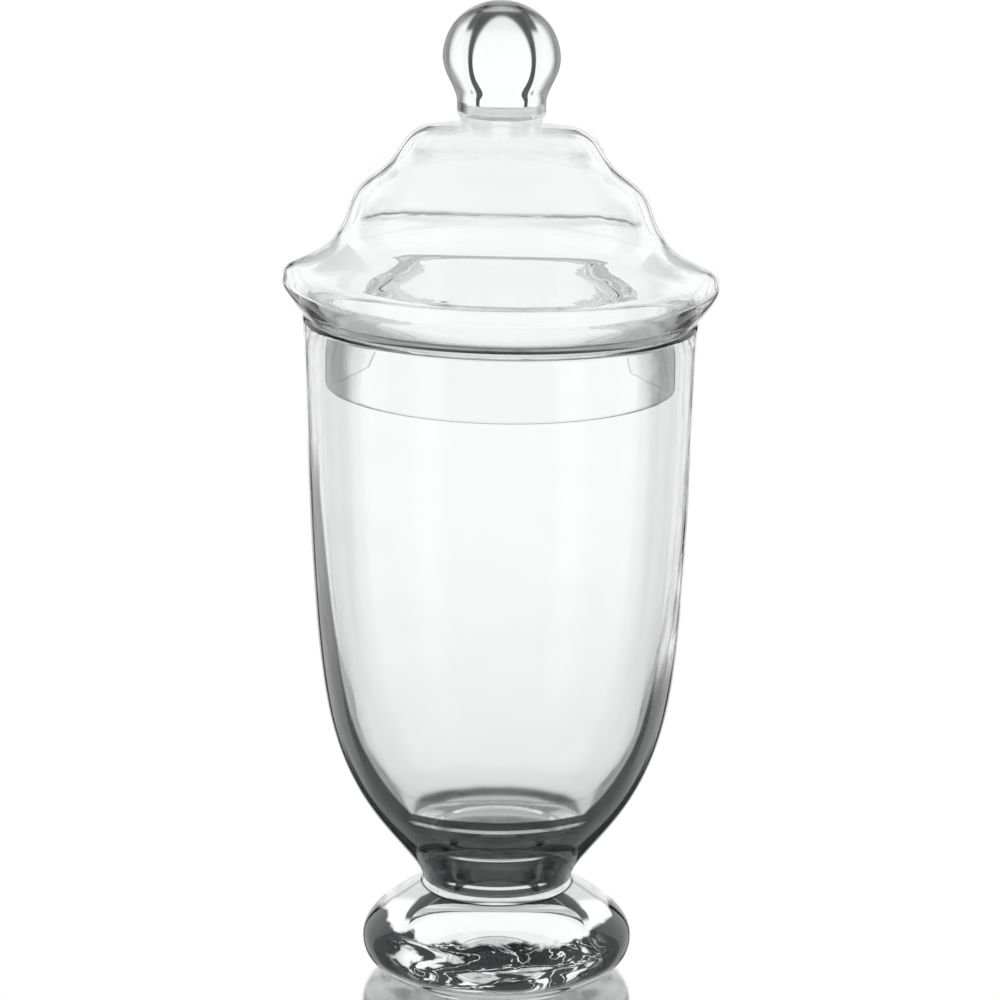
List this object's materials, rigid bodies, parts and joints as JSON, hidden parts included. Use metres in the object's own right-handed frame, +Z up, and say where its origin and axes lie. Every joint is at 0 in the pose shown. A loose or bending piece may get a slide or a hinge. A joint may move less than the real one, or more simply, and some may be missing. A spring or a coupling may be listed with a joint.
{
  "type": "apothecary jar",
  "caption": "Tall clear glass jar on a solid round foot, with a loose stepped dome lid that has a ball knob and an inner collar.",
  "frame": {"origin": "on the axis of the jar, in the plane that the foot stands on", "axes": "+Z up along the axis of the jar, from the foot to the knob; X and Y are alike, because every piece is turned about +Z"},
  "size_m": [0.1534, 0.1534, 0.3551],
  "materials": {
    "blown_glass": "clear blown glass, fire polished, with a faint grey green at the edges",
    "solid_glass": "clear solid glass, fire polished, grey green where it is thick"
  },
  "bodies": {
    "jar": {"bowl": "blown_glass", "stem_disc": "solid_glass", "foot": "solid_glass"},
    "lid": {"lid_dome": "blown_glass", "lid_collar": "blown_glass", "knob_ring": "solid_glass", "lid_knob": "solid_glass"}
  },
  "joints": [
    {"name": "lid_lift", "type": "slide", "parent": "jar", "child": "lid", "axis": [0, 0, 1], "range_m": [0, 0.08]}
  ]
}
